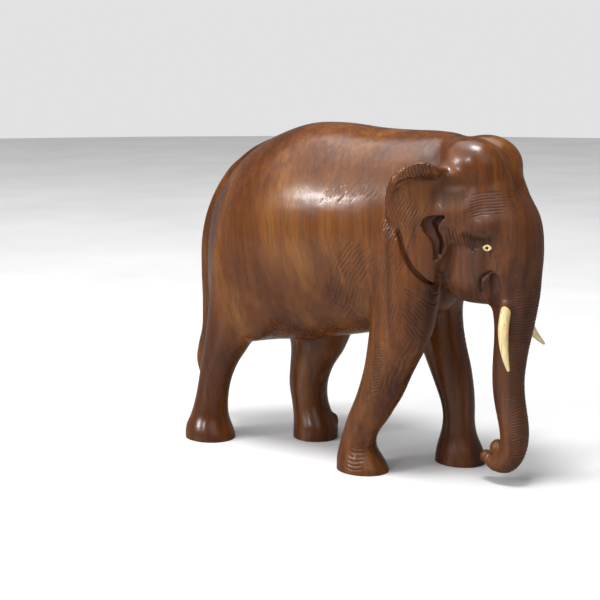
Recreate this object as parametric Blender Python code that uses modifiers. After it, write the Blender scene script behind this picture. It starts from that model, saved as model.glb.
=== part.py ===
"""Carved wooden elephant: one carved block of hardwood, two inlaid tusks and two inlaid eyes.

The elephant faces +X and stands on the plane z = 0, with its right side towards -Y.
All the numbers in the tables are millimetres; MM turns them into Blender's metres.
"""
import math

import bmesh
import bpy
import numpy as np
from mathutils import Matrix, Vector

MM = 0.001
FORWARDS = (1.0, 0.0, 0.0)
UPWARDS = (0.0, 0.0, 1.0)
DOWNWARDS = (0.0, 0.0, -1.0)

# ---------------------------------------------------------------- driving dimensions (mm)
CENTRE_SHIFT = 1.0          # moves the tables along X so that the origin is under the middle
FIT_GAP = 0.3               # clearance between an inlaid piece and the wood around it
BLOCK_VOXEL = 1.5           # grid that the big masses are merged on
BLOCK_ROUNDS = 22           # smoothing rounds that blend the big masses
DETAIL_VOXEL = 1.0          # grid that the ears, cheeks, lips and tail are merged on
DETAIL_ROUNDS = 5
BODY_TRIANGLES = 10500      # the finished block is thinned to about this many triangles
SOLE_TOLERANCE = 0.4        # points lower than this lie on the soles
SHARP_ANGLE = 40            # degrees; steeper edges are shaded sharp
CAP_BULGE = 0.6             # a loft's rounded end, as a share of its smaller half size
CAP_ANGLES = (35, 65)       # degrees round the rounded end that its two extra sections stand at

EYE_CENTRE = (93.4, -20.6, 126.6)   # right eye; the left one is its mirror image
EYE_YAW = 14.0              # degrees that the eye faces forwards of sideways
EYE_LENGTH = 4.6
EYE_HEIGHT = 3.2
EYE_CORNERS = 1.4           # above 1 the eye's corners are pointed
EYE_DEPTH = 2.6
EYE_PROUD = 0.35            # how far the bone stands out of the wood
PUPIL_DIAMETER = 1.5
PUPIL_DEPTH = 1.6
CUTTER_REACH = 3.0          # how far a cutter stands out of the surface that it cuts

# ---------------------------------------------------------------- the carved masses
# Every station is (x, y, z, half size fore and aft or up and down, half size across).
BARREL = [
    (-102.5, 0, 96, 34, 6), (-98, 0, 98, 40.5, 11.5), (-91, 0, 101, 46, 18.5), (-84, 0, 104, 50, 24.5),
    (-75, 0, 108.5, 54, 31), (-63, 0, 114, 57, 37), (-48, 0, 119, 59.2, 41.5),
    (-28, 0, 123.3, 61, 42.5), (-6, 0, 126, 59, 42), (16, 0, 127.6, 55.5, 40), (36, 0, 131, 51.5, 36.5),
    (52, 0, 138, 44.5, 31), (66, 0, 143.5, 37, 25), (80, 0, 145, 26, 18),
]
HEAD = [
    (78.5, 0, 171, 14, 15), (79, 0, 161, 19.2, 19), (80.6, 0, 151, 21.8, 21), (83.6, 0, 142, 24.6, 21.5),
    (85.6, 0, 134, 25.2, 21), (86.4, 0, 126, 25.4, 20), (86.8, 0, 118, 25.2, 19), (87, 0, 110, 24, 17.8),
    (88, 0, 104, 20.5, 15.5),
]
TRUNK = [
    (96.4, 0, 134, 13, 14), (98, 0, 119, 14, 13.4), (98.8, 0, 106, 13.6, 12.4), (99, 0, 96, 12.4, 11.4),
    (98.8, 0, 86, 10.8, 10.2), (97.8, 0, 76, 9.6, 9.4), (96.6, 0, 65, 9, 8.9), (96.3, 0, 54, 8.6, 8.5),
    (97.6, 0, 44, 8.4, 8.2), (99.8, 0, 34, 8.2, 7.9), (100.8, 0, 25, 7.8, 7.5), (99.6, 0, 17.5, 7.2, 7.1),
    (96, 0, 12, 6.6, 6.7), (90.6, 0, 10.6, 5.2, 6.2), (86, 0, 11.6, 3.6, 5),
]
REAR_RIGHT_LEG = [
    (-87.4, -22.6, -4, 15.2, 13.8), (-87.6, -22.6, 2, 15.4, 14), (-88.6, -22.4, 7, 14.2, 13.2),
    (-88.4, -22, 13.5, 11.4, 10.8), (-87, -21.4, 24, 9.9, 9.6), (-85, -20.6, 35, 9.9, 9.6),
    (-82, -20, 45, 11.4, 10.4), (-77, -19.5, 56, 14.2, 12), (-71, -19, 72, 17.5, 13.8),
    (-63, -19.5, 92, 22, 16.5), (-60, -20, 114, 22, 17), (-58, -17, 134, 17, 14),
]
REAR_LEFT_LEG = [
    (-38.4, 14.6, -4, 13.2, 12.8), (-38.2, 14.6, 2, 13.4, 13), (-38, 14.8, 7, 13.6, 12.8),
    (-40, 15, 13, 12.2, 11.2), (-43, 15.6, 21, 11.2, 10.4), (-44.6, 16.2, 31, 12, 10.6),
    (-42.6, 16.8, 42, 13.6, 11.4), (-38.6, 17.5, 54, 17.4, 13.2), (-39, 18.5, 70, 22, 15.5),
    (-50, 19.5, 92, 23, 17.5), (-58, 20, 114, 22, 18), (-60, 18, 134, 17, 14),
]
FRONT_RIGHT_LEG = [
    (21.4, -23, -4, 15, 13), (21.3, -23, 2, 15, 13), (19.4, -23, 7.5, 13, 11.8),
    (18, -23, 14, 10, 9.8), (20.2, -23, 21.5, 10, 9.8), (24.4, -23, 29, 11.5, 10.6),
    (28.4, -23, 36.5, 12.2, 11), (32.4, -23, 44, 13, 11.4), (37.4, -23, 57, 14, 12),
    (41.4, -23, 68, 16, 12.8), (44.6, -22.5, 80, 18, 13.6), (46, -22, 94, 19, 14.4),
    (46, -21.5, 112, 20, 15), (44, -19, 134, 16, 14),
]
FRONT_LEFT_LEG = [
    (55.8, 22, -4, 14.6, 13), (55.7, 22, 2, 14.4, 13), (55.2, 22, 8, 13.2, 12),
    (54.5, 22, 14, 10.8, 10.2), (54.4, 22, 21, 9.1, 9.2), (54.2, 22, 28, 9, 9.2),
    (53.2, 22, 35, 9.8, 9.8), (51, 22, 43, 11, 10.6), (47.4, 22, 54, 12.4, 11.4),
    (43, 22, 66, 13.4, 12.2), (39, 22, 80, 15, 13), (38, 21.5, 94, 17, 14),
    (40, 21, 112, 20, 15), (42, 19, 134, 16, 14),
]
LEGS = {
    "rear_right_leg": REAR_RIGHT_LEG,
    "rear_left_leg": REAR_LEFT_LEG,
    "front_right_leg": FRONT_RIGHT_LEG,
    "front_left_leg": FRONT_LEFT_LEG,
}
# Round masses: (x, y, z) and their three half sizes. Those off the middle come in mirrored pairs.
BRISKET = ((47, 0, 101), (17, 17, 17))
JAW = ((80, 0, 111), (17.5, 15.5, 15))
DOME = ((75.4, -9, 165), (20.4, 13.4, 16.2))
EAR_ROOT = ((69, -19, 146), (15, 11.5, 22))
TEMPLE = ((77, -18.6, 142), (13, 7.4, 17))
BROW = ((87, -15.8, 137.2), (12.6, 8.8, 9))
HAUNCH = ((-58, -19, 102), (24, 18.5, 42))
SHOULDER = ((42, -20, 120), (23, 17, 38))

# ---------------------------------------------------------------- the finer carving
TAIL = [
    (-57.6, 0, 172.6, 2.2, 3), (-64, 0, 169.2, 3, 3.4), (-71, 0, 165, 3.7, 3.7), (-79, 0, 159.3, 4, 3.7),
    (-87, 0, 153, 4, 3.6), (-96.4, 0, 141, 4, 3.6),
    (-103.4, 0, 127, 4, 3.6), (-107.2, 0, 112, 3.8, 3.6), (-107.8, 0, 94, 3.6, 3.6),
    (-107.4, 0, 76, 3.5, 3.5), (-108, 0, 60, 3.5, 3.5), (-110, 0, 48, 4.4, 4.4), (-111.2, 0, 40, 4.4, 4.6),
    (-111, 0, 32, 3, 3.4),
]
HEEL = ((-30, 20.6, 9.4), (3.4, 3.4, 5))
UPPER_LOBE = ((91, 0, 18.4), (4.2, 4.8, 5))
LOWER_LOBE = ((84, 0, 13.2), (3, 4.2, 3.4))
CHEEK = [
    (82.4, 0, 127, 10.6, 20.2), (79.9, 0, 120, 13.1, 20.6), (78.5, 0, 114.5, 14.5, 20.6),
    (77.9, 0, 109, 15.1, 20.6), (79.2, 0, 105, 13.8, 19.6), (80.8, 0, 102, 12.2, 17.5),
]
EAR_HINGE = ((67.5, -20, 124), (6, 7, 13))
TUSK_SHEATH = ((99.6, -9.4, 96.8), (4.4, 3.8, 5))
LIP = ((90.8, -14.2, 105.4), (2.9, 4, 6.6))
# An ear is lofted from top to tip about its own middle, then turned and put in its place.
EAR_PLACE = (60, -30.6, 0)
EAR_YAW = 17.0              # degrees; the rear edge of an ear stands further out than its root
EAR_CURL_START = 3.0        # forwards of this an ear bends in towards the head
EAR_CURL = 0.02
EAR = [
    (1, 0, 165, 12, 2), (-0.5, 0, 160, 15, 2.6), (-1.5, 0, 151, 16.8, 2.6), (-0.5, 0, 141, 17.2, 2.6),
    (2.4, 0, 135, 14.4, 2.6), (3.2, 0, 130, 12.8, 2.6), (3.4, 0, 125, 11.6, 2.6), (3, 0, 121, 9.8, 2.6),
    (3, 0, 116, 7.2, 2.5), (4.6, 0, 112, 4.6, 2.3), (6.2, 0, 109, 2.3, 2), (7.2, 0, 107.4, 0.9, 1.4),
]
# The ear's upper edge flares outwards above its fold; the last number is how far it leans, in degrees.
EAR_FLARE = [
    (47.6, -37.8, 153.4, 1.2, 1.2, 20), (51, -38.2, 158, 2.8, 1.5, 30), (56, -37.8, 161.8, 4, 1.6, 34),
    (61.5, -36.8, 164.4, 5, 1.6, 38), (65.4, -34.8, 165, 4.8, 1.6, 38), (68.6, -32.4, 164.4, 3.7, 1.6, 31),
    (71, -29.8, 163.2, 2.1, 1.4, 22),
]
# Hollows pressed into the right side and mirrored: place, reach (x, y, z) and inward depth.
HOLLOWS = [
    ((74.8, -22, 152.6), (12.5, 18, 11), 3.4),      # temple
    ((75.6, -22, 157.6), (7, 14, 4.6), 1.3),        # under the dome
]
# Pockets: an outline in x and z, and the y of the floor at POCKET_MIDDLE and its slope along x.
POCKET_MIDDLE = 66
POCKETS = {
    "ear_opening": (
        [(61.6, 136.8), (62.6, 140), (66, 141.6), (70, 142), (74.6, 142.4), (72.2, 139.8), (70, 137.4),
         (69.8, 134.6), (71.6, 131), (72.2, 126.6), (71.2, 123), (69, 118.2), (68, 119), (68, 123.4),
         (67.4, 127.4), (65.6, 130.8), (63.2, 133.2)], -26.8, 0.3),
    "mouth_corner": (
        [(93.4, 113), (96.4, 113.8), (98.4, 111.6), (98.2, 106), (96.6, 99), (95, 93.4), (93.6, 96),
         (93.6, 104), (93, 109)], -14.2, 0.0),
}
POCKET_TOP = 60             # the pockets' cutters reach this far out sideways
CREASE = [(60, 0, 177), (71, 0, 179.6), (80, 0, 180), (91, 0, 175.6), (97.6, 0, 165), (100, 0, 156),
          (102.4, 0, 147)]
CREASE_WIDTH = 3.4
CREASE_DEPTH = 2.2

# ---------------------------------------------------------------- the tusks
# Root first: the first two stations are the hidden tenon inside the wood.
TUSK_RIGHT = [
    (99.6, -8.8, 102, 2, 2), (99.8, -10.2, 97, 2.5, 2.5), (99.8, -12.2, 91.4, 2.7, 2.7),
    (100, -13.8, 84.6, 2.7, 2.7), (101, -14.8, 77, 2.3, 2.3), (102.6, -15.2, 70, 1.6, 1.6),
    (104.4, -15.4, 64.6, 0.7, 0.7),
]
TUSK_LEFT = [
    (98.4, 7.4, 102, 2, 2), (98.6, 8.8, 97, 2.5, 2.5), (98.8, 10.2, 91.4, 2.7, 2.7),
    (99.4, 12.6, 85.6, 2.7, 2.7), (100.8, 15.6, 80, 2.3, 2.3), (102.8, 19.2, 75.6, 1.5, 1.5),
    (104.6, 22, 72.4, 0.7, 0.7),
]
TUSK_SIDES = 16

# ---------------------------------------------------------------- colours
MATERIALS = {
    "wood": ((0.24, 0.085, 0.03), 0.28),
    "bone": ((0.82, 0.70, 0.42), 0.38),
    "dark_inlay": ((0.02, 0.014, 0.01), 0.3),
}


def clear_scene():
    """Remove every object that the new file came with."""
    for obj in list(bpy.data.objects):
        bpy.data.objects.remove(obj, do_unlink=True)


def new_collection(name):
    """A collection linked into the scene."""
    collection = bpy.data.collections.new(name)
    bpy.context.scene.collection.children.link(collection)
    return collection


def new_material(name):
    """A Principled material with the slot's colour and roughness."""
    colour, roughness = MATERIALS[name]
    material = bpy.data.materials.new(name)
    material.use_nodes = True
    shader = material.node_tree.nodes["Principled BSDF"]
    shader.inputs["Base Color"].default_value = (*colour, 1.0)
    shader.inputs["Roughness"].default_value = roughness
    material.diffuse_color = (*colour, 1.0)
    return material


def mesh_object(name, bm, collection):
    """Finish a bmesh as an object whose faces point outwards."""
    bmesh.ops.recalc_face_normals(bm, faces=bm.faces)
    mesh = bpy.data.meshes.new(name)
    bm.to_mesh(mesh)
    bm.free()
    obj = bpy.data.objects.new(name, mesh)
    collection.objects.link(obj)
    return obj


def smooth_rows(rows, steps):
    """A Catmull-Rom curve through the rows, with `steps` rows to each interval."""
    rows = np.asarray(rows, dtype=float)
    padded = np.vstack([2 * rows[0] - rows[1], rows, 2 * rows[-1] - rows[-2]])
    smooth = []
    for i in range(len(rows) - 1):
        before, start, end, after = padded[i:i + 4]
        for t in np.arange(steps) / steps:
            smooth.append(0.5 * (2 * start + (end - before) * t
                                 + (2 * before - 5 * start + 4 * end - after) * t ** 2
                                 + (3 * start - before - 3 * end + after) * t ** 3))
    smooth.append(rows[-1])
    return np.array(smooth)


def loft(name, stations, collection, axis=None, sides=36, steps=5, power=2.0, grow=0.0):
    """A closed body through elliptical stations, with rounded ends.

    The sections are square to the axis, or to the line of their centres if none is given.
    A power above 2 squares their outlines off; grow makes every half size larger.
    A sixth number in a station leans its section, in degrees.
    """
    rows = smooth_rows(stations, steps)
    centres = rows[:, :3]
    halves = rows[:, 3:5] + grow
    lean = np.radians(rows[:, 5:6]) if rows.shape[1] > 5 else np.zeros((len(rows), 1))
    tangents = np.gradient(centres, axis=0) if axis is None else np.tile(axis, (len(rows), 1))
    tangents = tangents / np.linalg.norm(tangents, axis=1)[:, None]
    level = np.array([0.0, 1.0, 0.0]) - tangents * tangents[:, 1:2]
    level /= np.linalg.norm(level, axis=1)[:, None]
    upright = np.cross(level, tangents)
    fore = upright * np.cos(lean) + level * np.sin(lean)
    across = level * np.cos(lean) - upright * np.sin(lean)

    sections = []
    for end, way in ((0, -1), (-1, 1)):
        bulge = min(halves[end]) * CAP_BULGE
        caps = [(centres[end] + way * tangents[end] * bulge * math.sin(a), halves[end] * math.cos(a), end)
                for a in map(math.radians, CAP_ANGLES)]
        sections.append(caps)
    plain = [(centres[i], halves[i], i) for i in range(len(rows))]
    sections = sections[0][::-1] + plain + sections[1]

    bm = bmesh.new()
    rings = []
    for centre, half, i in sections:
        ring = []
        for k in range(sides):
            angle = 2 * math.pi * k / sides
            u = math.copysign(abs(math.cos(angle)) ** (2 / power), math.cos(angle))
            v = math.copysign(abs(math.sin(angle)) ** (2 / power), math.sin(angle))
            ring.append(bm.verts.new((centre + fore[i] * half[0] * u + across[i] * half[1] * v) * MM))
        rings.append(ring)
    for lower, upper in zip(rings, rings[1:]):
        for k in range(sides):
            bm.faces.new((lower[k], lower[k - 1], upper[k - 1], upper[k]))
    bm.faces.new(rings[0])
    bm.faces.new(rings[-1])
    return mesh_object(name, bm, collection)


def ellipsoid(name, centre, halves, collection):
    """A ball stretched to three half sizes."""
    bm = bmesh.new()
    bmesh.ops.create_uvsphere(bm, u_segments=36, v_segments=24, radius=1.0)
    place = Matrix.Translation(Vector(centre) * MM) @ Matrix.Diagonal((*(h * MM for h in halves), 1.0))
    bmesh.ops.transform(bm, matrix=place, verts=bm.verts)
    return mesh_object(name, bm, collection)


def mirrored(point):
    """The same place on the elephant's other side."""
    return (point[0], -point[1], *point[2:])


def both_sides(name, centre, halves, collection):
    """A pair of balls, one on each side."""
    return [ellipsoid("right_" + name, centre, halves, collection),
            ellipsoid("left_" + name, mirrored(centre), halves, collection)]


def bake(obj):
    """Apply an object's modifiers to its mesh."""
    graph = bpy.context.evaluated_depsgraph_get()
    mesh = bpy.data.meshes.new_from_object(obj.evaluated_get(graph))
    obj.modifiers.clear()
    obj.data = mesh


def merge(name, pieces, voxel, rounds, collection):
    """Unite overlapping pieces on a grid and smooth the seams between them."""
    bm = bmesh.new()
    for piece in pieces:
        piece.data.transform(piece.matrix_world)
        bm.from_mesh(piece.data)
        bpy.data.objects.remove(piece, do_unlink=True)
    mesh = bpy.data.meshes.new(name)
    bm.to_mesh(mesh)
    bm.free()
    obj = bpy.data.objects.new(name, mesh)
    collection.objects.link(obj)
    remesh = obj.modifiers.new("Merge", "REMESH")
    remesh.mode = "VOXEL"
    remesh.voxel_size = voxel * MM
    smooth = obj.modifiers.new("Blend", "SMOOTH")
    smooth.factor = 0.5
    smooth.iterations = rounds
    bake(obj)
    return obj


def ear(side, collection):
    """One ear with its flared upper edge; side is -1 for the right ear and 1 for the left."""
    blade = loft("ear_blade", EAR, collection, axis=DOWNWARDS, power=3.0)
    points = mesh_points(blade)
    points[:, 1] -= side * EAR_CURL * np.clip(points[:, 0] - EAR_CURL_START, 0, None) ** 2
    set_mesh_points(blade, points)
    blade.location = Vector((EAR_PLACE[0], -side * EAR_PLACE[1], EAR_PLACE[2])) * MM
    blade.rotation_euler.z = -side * math.radians(EAR_YAW)
    bpy.context.view_layer.update()
    flare = loft("ear_flare", [(x, -side * y, z, h, w, -side * lean) for x, y, z, h, w, lean in EAR_FLARE],
                 collection, power=2.6)
    return [blade, flare]


def mesh_points(obj):
    """An object's vertices as an array in millimetres."""
    points = np.empty(len(obj.data.vertices) * 3)
    obj.data.vertices.foreach_get("co", points)
    return points.reshape(-1, 3) / MM


def set_mesh_points(obj, points):
    """Write an array in millimetres back to an object's vertices."""
    obj.data.vertices.foreach_set("co", (points * MM).ravel())
    obj.data.update()


def press_hollows(obj):
    """Push the surface in towards the middle plane at each hollow, on both sides."""
    points = mesh_points(obj)
    for centre, reach, depth in HOLLOWS:
        for side in (-1, 1):
            place = np.array([centre[0], -side * centre[1], centre[2]])
            distance = np.linalg.norm((points - place) / reach, axis=1)
            fall = np.clip(1 - distance ** 2, 0, None) ** 2
            points[:, 1] -= side * depth * fall
    set_mesh_points(obj, points)


def carve_crease(obj):
    """Sink the line between the two domes of the forehead."""
    points = mesh_points(obj)
    path = smooth_rows(CREASE, 6)
    distance = np.full(len(points), 1e9)
    for start, end in zip(path, path[1:]):
        step = end - start
        along = np.clip((points - start) @ step / (step @ step), 0, 1)
        distance = np.minimum(distance, np.linalg.norm(points - start - along[:, None] * step, axis=1))
    points[:, 2] -= CREASE_DEPTH * np.exp(-(distance / CREASE_WIDTH) ** 2)
    set_mesh_points(obj, points)


def cut(obj, cutter):
    """Subtract a cutter from an object with a live Boolean."""
    boolean = obj.modifiers.new("Cut " + cutter.name, "BOOLEAN")
    boolean.operation = "DIFFERENCE"
    boolean.solver = "EXACT"
    boolean.object = cutter
    cutter.hide_render = True
    cutter.display_type = "WIRE"


def pocket_cutter(name, side, collection):
    """A prism that cuts a pocket straight in from one side."""
    outline, floor, slope = POCKETS[name]
    bm = bmesh.new()
    inner = [bm.verts.new((x * MM, -side * (floor + slope * (x - POCKET_MIDDLE)) * MM, z * MM))
             for x, z in outline]
    outer = [bm.verts.new((x * MM, side * POCKET_TOP * MM, z * MM)) for x, z in outline]
    bm.faces.new(inner)
    bm.faces.new(outer)
    for k in range(len(outline)):
        bm.faces.new((inner[k - 1], inner[k], outer[k], outer[k - 1]))
    bmesh.ops.triangulate(bm, faces=bm.faces)
    return mesh_object(name, bm, collection)


def thin_out(obj, triangles):
    """Collapse the mesh to about this many triangles."""
    decimate = obj.modifiers.new("Thin", "DECIMATE")
    obj.data.calc_loop_triangles()
    decimate.ratio = triangles / len(obj.data.loop_triangles)
    bake(obj)


def saw_soles(obj):
    """Cut the block off flat at z = 0, so that it stands on its four soles."""
    bm = bmesh.new()
    bm.from_mesh(obj.data)
    cut_faces = bm.verts[:] + bm.edges[:] + bm.faces[:]
    bmesh.ops.bisect_plane(bm, geom=cut_faces, plane_co=(0, 0, 0), plane_no=(0, 0, -1), clear_outer=True)
    rims = [edge for edge in bm.edges if edge.is_boundary]
    bmesh.ops.holes_fill(bm, edges=rims, sides=0)
    bmesh.ops.triangulate(bm, faces=[face for face in bm.faces if len(face.verts) > 4])
    bm.to_mesh(obj.data)
    bm.free()


def level_soles(obj):
    """Put back on z = 0 what thinning has lifted off the soles by a hair."""
    points = mesh_points(obj)
    points[points[:, 2] < SOLE_TOLERANCE, 2] = 0
    set_mesh_points(obj, points)


def carved_block(collection):
    """The elephant's body, carved from one block, before any cutting."""
    masses = [loft("barrel", BARREL, collection, axis=FORWARDS),
              loft("head", HEAD, collection, axis=DOWNWARDS, power=2.3),
              loft("trunk", TRUNK, collection)]
    masses += [loft(name, stations, collection, axis=UPWARDS) for name, stations in LEGS.items()]
    masses += [ellipsoid("brisket", *BRISKET, collection), ellipsoid("jaw", *JAW, collection)]
    for name, mass in (("dome", DOME), ("ear_root", EAR_ROOT), ("temple", TEMPLE), ("brow", BROW),
                       ("haunch", HAUNCH), ("shoulder", SHOULDER)):
        masses += both_sides(name, *mass, collection)
    block = merge("wood_body", masses, BLOCK_VOXEL, BLOCK_ROUNDS, collection)

    details = [block, loft("tail", TAIL, collection),
               ellipsoid("heel", *HEEL, collection), ellipsoid("upper_lobe", *UPPER_LOBE, collection),
               ellipsoid("lower_lobe", *LOWER_LOBE, collection)]
    details.append(loft("cheek", CHEEK, collection, axis=DOWNWARDS, power=8.0))
    details += ear(-1, collection) + ear(1, collection)
    for name, detail in (("ear_hinge", EAR_HINGE), ("tusk_sheath", TUSK_SHEATH), ("lip", LIP)):
        details += both_sides(name, *detail, collection)
    body = merge("wood_body", details, DETAIL_VOXEL, DETAIL_ROUNDS, collection)
    press_hollows(body)
    carve_crease(body)
    saw_soles(body)
    thin_out(body, BODY_TRIANGLES)
    level_soles(body)
    return body


def almond(name, length, height, depth, collection):
    """A flat inlay with pointed corners, standing along its own Z axis."""
    bm = bmesh.new()
    bmesh.ops.create_cone(bm, cap_ends=True, segments=24, radius1=1.0, radius2=1.0, depth=depth * MM)
    for vertex in bm.verts:
        angle = math.atan2(vertex.co.y, vertex.co.x)
        vertex.co.x = math.cos(angle) * length / 2 * MM
        vertex.co.y = math.copysign(abs(math.sin(angle)) ** EYE_CORNERS, math.sin(angle)) * height / 2 * MM
    return mesh_object(name, bm, collection)


def pin(name, diameter, depth, collection):
    """A short round pin along its own Z axis."""
    bm = bmesh.new()
    bmesh.ops.create_cone(bm, cap_ends=True, segments=20, radius1=diameter / 2 * MM,
                          radius2=diameter / 2 * MM, depth=depth * MM)
    return mesh_object(name, bm, collection)


def face_outwards(obj, side, depth, proud):
    """Set an inlay into the side of the head, standing `proud` of the wood."""
    yaw = math.radians(EYE_YAW)
    outwards = Vector((math.sin(yaw), side * math.cos(yaw), 0.0))
    along = Vector((outwards.y, -outwards.x, 0.0)) * side
    up = outwards.cross(along)
    eye = Vector((EYE_CENTRE[0] + CENTRE_SHIFT, -side * EYE_CENTRE[1], EYE_CENTRE[2]))
    centre = (eye + outwards * (proud - depth / 2)) * MM
    turn = Matrix((along, up, outwards)).transposed().to_4x4()
    obj.matrix_world = Matrix.Translation(centre) @ turn


def shift_along(obj):
    """Move a body from the tables' frame to the part's own frame."""
    obj.data.transform(Matrix.Translation((CENTRE_SHIFT * MM, 0, 0)))


def build():
    """Make every piece of the elephant."""
    clear_scene()
    parts = new_collection("carved_elephant")
    cutters = new_collection("cutters")
    materials = {name: new_material(name) for name in MATERIALS}

    body = carved_block(parts)
    shift_along(body)

    finished = {"wood": [body], "bone": [], "dark_inlay": []}
    for side, name, stations in ((-1, "right", TUSK_RIGHT), (1, "left", TUSK_LEFT)):
        tusk = loft("tusk_" + name, stations, parts, sides=TUSK_SIDES, steps=3)
        socket = loft("tusk_socket_" + name, stations, cutters, sides=TUSK_SIDES, steps=3, grow=FIT_GAP)
        shift_along(tusk)
        shift_along(socket)
        cut(body, socket)

        for pocket in POCKETS:
            prism = pocket_cutter(pocket, side, cutters)
            prism.name = pocket + "_" + name
            shift_along(prism)
            cut(body, prism)

        inlay = almond("eye_" + name, EYE_LENGTH, EYE_HEIGHT, EYE_DEPTH, parts)
        face_outwards(inlay, side, EYE_DEPTH, EYE_PROUD)
        recess_depth = EYE_DEPTH + CUTTER_REACH
        recess = almond("eye_recess_" + name, EYE_LENGTH + 2 * FIT_GAP, EYE_HEIGHT + 2 * FIT_GAP,
                        recess_depth, cutters)
        face_outwards(recess, side, recess_depth, EYE_PROUD + CUTTER_REACH - FIT_GAP)
        cut(body, recess)

        pupil = pin("pupil_" + name, PUPIL_DIAMETER, PUPIL_DEPTH, parts)
        face_outwards(pupil, side, PUPIL_DEPTH, EYE_PROUD)
        bore_depth = PUPIL_DEPTH + CUTTER_REACH
        bore = pin("pupil_bore_" + name, PUPIL_DIAMETER + 2 * FIT_GAP, bore_depth, cutters)
        face_outwards(bore, side, bore_depth, EYE_PROUD + CUTTER_REACH - FIT_GAP)
        cut(inlay, bore)

        finished["bone"] += [tusk, inlay]
        finished["dark_inlay"].append(pupil)

    for name, pieces in finished.items():
        for piece in pieces:
            piece.data.materials.append(materials[name])
            piece.data.shade_smooth()
            piece.data.set_sharp_from_angle(angle=math.radians(SHARP_ANGLE))


build()
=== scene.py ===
"""Looks for the carved wooden elephant: engraved hardwood, bone tusks and inlaid eyes.

All the tables are millimetres in the carving's own frame; CENTRE_SHIFT moves them into the part's frame.
They give the right side and the left side repeats it, except for the legs, the heel and the tusks.
"""

import math

import bmesh
import bpy
import numpy as np
from mathutils import Matrix, Vector


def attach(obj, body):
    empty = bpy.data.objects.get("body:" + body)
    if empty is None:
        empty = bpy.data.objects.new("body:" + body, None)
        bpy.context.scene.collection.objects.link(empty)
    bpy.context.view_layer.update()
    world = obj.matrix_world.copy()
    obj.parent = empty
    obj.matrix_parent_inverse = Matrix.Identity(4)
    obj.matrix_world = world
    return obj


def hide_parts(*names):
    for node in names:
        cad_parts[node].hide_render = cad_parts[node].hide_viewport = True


MM = 0.001
FORWARDS = (1.0, 0.0, 0.0)
UPWARDS = (0.0, 0.0, 1.0)
DOWNWARDS = (0.0, 0.0, -1.0)
CENTRE_SHIFT = 1.0

# ---------------------------------------------------------------- how finely things are made
BLOCK_VOXEL = 1.2           # grid that the large masses are merged on
BLOCK_ROUNDS = 34           # smoothing that blends the large masses into each other
DETAIL_VOXEL = 0.6          # grid that the ears, cheeks, lips and tail are merged on
DETAIL_ROUNDS = 6
POCKET_ROUNDS = 6           # smoothing that takes the edge off the cut pockets
BODY_TRIANGLES = 400000     # the finished block is thinned to about this many triangles
SHARP_ANGLE = 60            # degrees; steeper edges are shaded sharp
CAP_BULGE = 0.6             # a loft's rounded end, as a share of its smaller half size
CAP_ANGLES = (35, 65)       # degrees round the rounded end that its two extra sections stand at
FAR = 1e9                   # stands for a distance that hasn't been measured yet
TINY = 1e-9                 # keeps a division from failing

# ---------------------------------------------------------------- the carved masses
# Every station is (x, y, z, half size fore and aft or up and down, half size across).
# A power says how square its sections are: 2 is an ellipse.
HEAD_POWER = 2.3
CHEEK_POWER = 8.0
EAR_POWER = 3.0
FLARE_POWER = 2.6
BARREL = [
    (-102.5, 0, 96, 34, 6), (-98, 0, 98, 40.5, 11.5), (-91, 0, 101, 46, 18.5), (-84, 0, 104, 50, 24.5),
    (-75, 0, 108.5, 54, 31), (-63, 0, 114, 57, 37), (-48, 0, 119, 59.2, 41.5),
    (-28, 0, 123.3, 61, 42.5), (-6, 0, 126, 59, 42), (16, 0, 127.6, 55.5, 40), (36, 0, 131, 51.5, 36.5),
    (52, 0, 138, 44.5, 31), (66, 0, 143.5, 37, 25), (80, 0, 145, 26, 18),
]
HEAD = [
    (78.5, 0, 171, 14, 15), (79, 0, 161, 19.2, 19), (80.6, 0, 151, 21.8, 21), (83.6, 0, 142, 24.6, 21.5),
    (85.6, 0, 134, 25.2, 21), (86.4, 0, 126, 25.4, 20), (86.8, 0, 118, 25.2, 19), (87, 0, 110, 24, 17.8),
    (88, 0, 104, 20.5, 15.5),
]
TRUNK = [
    (96.4, 0, 134, 13, 14), (98, 0, 119, 14, 13.4), (98.8, 0, 106, 13.6, 12.4), (99, 0, 96, 12.4, 11.4),
    (98.8, 0, 86, 10.8, 10.2), (97.8, 0, 76, 9.6, 9.4), (96.6, 0, 65, 9, 8.9), (96.3, 0, 54, 8.6, 8.5),
    (97.6, 0, 44, 8.4, 8.2), (99.8, 0, 34, 8.2, 7.9), (100.8, 0, 25, 7.8, 7.5), (99.6, 0, 17.5, 7.2, 7.1),
    (96, 0, 12, 6.6, 6.7), (90.6, 0, 10.6, 5.2, 6.2), (86, 0, 11.6, 3.6, 5),
]
REAR_RIGHT_LEG = [
    (-87.4, -22.6, -4, 15.2, 13.8), (-87.6, -22.6, 2, 15.4, 14), (-88.6, -22.4, 7, 14.2, 13.2),
    (-88.4, -22, 13.5, 11.4, 10.8), (-87, -21.4, 24, 9.9, 9.6), (-85, -20.6, 35, 9.9, 9.6),
    (-82, -20, 45, 11.4, 10.4), (-77, -19.5, 56, 14.2, 12), (-71, -19, 72, 17.5, 13.8),
    (-63, -19.5, 92, 22, 16.5), (-60, -20, 114, 22, 17), (-58, -17, 134, 17, 14),
]
REAR_LEFT_LEG = [
    (-38.4, 14.6, -4, 13.2, 12.8), (-38.2, 14.6, 2, 13.4, 13), (-38, 14.8, 7, 13.6, 12.8),
    (-40, 15, 13, 12.2, 11.2), (-43, 15.6, 21, 11.2, 10.4), (-44.6, 16.2, 31, 12, 10.6),
    (-42.6, 16.8, 42, 13.6, 11.4), (-38.6, 17.5, 54, 17.4, 13.2), (-39, 18.5, 70, 22, 15.5),
    (-50, 19.5, 92, 23, 17.5), (-58, 20, 114, 22, 18), (-60, 18, 134, 17, 14),
]
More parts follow.
